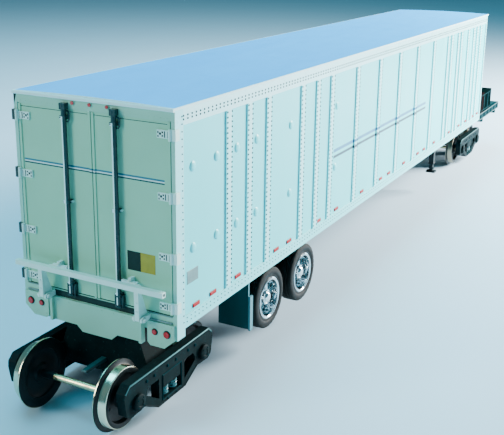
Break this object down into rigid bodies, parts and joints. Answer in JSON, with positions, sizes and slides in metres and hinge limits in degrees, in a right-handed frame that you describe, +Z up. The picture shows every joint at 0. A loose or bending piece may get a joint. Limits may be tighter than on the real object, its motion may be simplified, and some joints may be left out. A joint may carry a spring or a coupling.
{
  "type": "bimodal road-rail van trailer on rail bogies, 1:48 scale model",
  "caption": "Scale model of a bimodal van trailer standing on two rail bogies, with raised road wheels, rear doors, folding guard and a coupler bogie ahead",
  "frame": {"origin": "on the floor at the wheel flanges' bottoms, at the middle of the bounding box", "axes": "+X towards the nose, +Y to the left, +Z up"},
  "size_m": [0.417, 0.055, 0.0907],
  "materials": {
    "van_white": "satin",
    "roof_grey": "satin",
    "frame_black": "matt",
    "cast_black": "satin",
    "wheel_steel": "turned",
    "axle_brass": "turned",
    "tyre_rubber": "matt",
    "rim_chrome": "bright",
    "rod_metal": "gloss",
    "lamp_red": "gloss"
  },
  "bodies": {
    "van": {"side_panel_left": "van_white", "side_panel_right": "van_white", "lower_side_rails": "van_white", "upper_side_rails": "van_white", "nose_corner_posts": "van_white", "rear_corner_posts": "van_white", "roof": "roof_grey", "floor": "frame_black", "nose_wall": "van_white", "rear_header": "van_white", "rear_sill": "van_white", "door_left": "van_white", "door_right": "van_white", "lock_rods": "rod_metal", "door_hinges": "rod_metal", "hinge_butts": "rod_metal", "lamp_plates": "van_white", "rear_lamps": "lamp_red", "rear_apron": "van_white", "guard_lugs": "frame_black", "tongue_pocket": "frame_black", "mud_flaps": "frame_black", "landing_legs": "frame_black", "landing_brace": "frame_black", "subframe": "frame_black", "road_axle_beams": "frame_black", "trailing_arms": "frame_black", "air_springs": "frame_black", "air_tanks": "frame_black", "rear_pivot_plate": "frame_black", "kingpin_plate": "frame_black"},
    "rear_bogie": {"rear_bogie_side_frames": "cast_black", "rear_bogie_bolster": "cast_black", "rear_bogie_springs": "cast_black", "rear_bogie_brakes": "cast_black"},
    "rear_bogie_wheelset_outer": {"rear_bogie_wheels_outer": "wheel_steel", "rear_bogie_axle_outer": "axle_brass"},
    "rear_bogie_wheelset_inner": {"rear_bogie_wheels_inner": "wheel_steel", "rear_bogie_axle_inner": "axle_brass"},
    "front_bogie": {"front_bogie_side_frames": "cast_black", "front_bogie_bolster": "cast_black", "front_bogie_springs": "cast_black", "front_bogie_brakes": "cast_black", "deck_frame": "frame_black", "upper_deck": "frame_black", "coupler": "cast_black"},
    "front_bogie_wheelset_outer": {"front_bogie_wheels_outer": "wheel_steel", "front_bogie_axle_outer": "axle_brass"},
    "front_bogie_wheelset_inner": {"front_bogie_wheels_inner": "wheel_steel", "front_bogie_axle_inner": "axle_brass"},
    "road_wheels_rear_left": {"road_tyres_rear_left": "tyre_rubber", "road_rims_rear_left": "rim_chrome"},
    "road_wheels_rear_right": {"road_tyres_rear_right": "tyre_rubber", "road_rims_rear_right": "rim_chrome"},
    "road_wheels_front_left": {"road_tyres_front_left": "tyre_rubber", "road_rims_front_left": "rim_chrome"},
    "road_wheels_front_right": {"road_tyres_front_right": "tyre_rubber", "road_rims_front_right": "rim_chrome"},
    "guard": {"underride_guard": "rod_metal"}
  },
  "joints": [
    {"name": "rear_bogie_swivel", "type": "hinge", "parent": "van", "child": "rear_bogie", "pos_m": [-0.1812, 0, 0.0283], "axis": [0, 0, 1], "range_deg": [-8, 8]},
    {"name": "rear_bogie_wheelset_outer_roll", "type": "hinge", "parent": "rear_bogie", "child": "rear_bogie_wheelset_outer", "pos_m": [-0.1982, 0, 0.0103], "axis": [0, 1, 0], "continuous": true},
    {"name": "rear_bogie_wheelset_inner_roll", "type": "hinge", "parent": "rear_bogie", "child": "rear_bogie_wheelset_inner", "pos_m": [-0.1642, 0, 0.0103], "axis": [0, 1, 0], "continuous": true},
    {"name": "front_bogie_swivel", "type": "hinge", "parent": "van", "child": "front_bogie", "pos_m": [0.1553, 0, 0.0283], "axis": [0, 0, 1], "range_deg": [-8, 8]},
    {"name": "front_bogie_wheelset_outer_roll", "type": "hinge", "parent": "front_bogie", "child": "front_bogie_wheelset_outer", "pos_m": [0.1723, 0, 0.0103], "axis": [0, 1, 0], "continuous": true},
    {"name": "front_bogie_wheelset_inner_roll", "type": "hinge", "parent": "front_bogie", "child": "front_bogie_wheelset_inner", "pos_m": [0.1383, 0, 0.0103], "axis": [0, 1, 0], "continuous": true},
    {"name": "road_wheels_rear_left_roll", "type": "hinge", "parent": "van", "child": "road_wheels_rear_left", "pos_m": [-0.1313, 0.021, 0.0169], "axis": [0, 1, 0], "continuous": true},
    {"name": "road_wheels_rear_right_roll", "type": "hinge", "parent": "van", "child": "road_wheels_rear_right", "pos_m": [-0.1313, -0.021, 0.0169], "axis": [0, 1, 0], "continuous": true},
    {"name": "road_wheels_front_left_roll", "type": "hinge", "parent": "van", "child": "road_wheels_front_left", "pos_m": [-0.1053, 0.021, 0.0169], "axis": [0, 1, 0], "continuous": true},
    {"name": "road_wheels_front_right_roll", "type": "hinge", "parent": "van", "child": "road_wheels_front_right", "pos_m": [-0.1053, -0.021, 0.0169], "axis": [0, 1, 0], "continuous": true},
    {"name": "guard_drop", "type": "hinge", "parent": "van", "child": "guard", "pos_m": [-0.1916, 0, 0.0312], "axis": [0, -1, 0], "range_deg": [0, 170]}
  ]
}
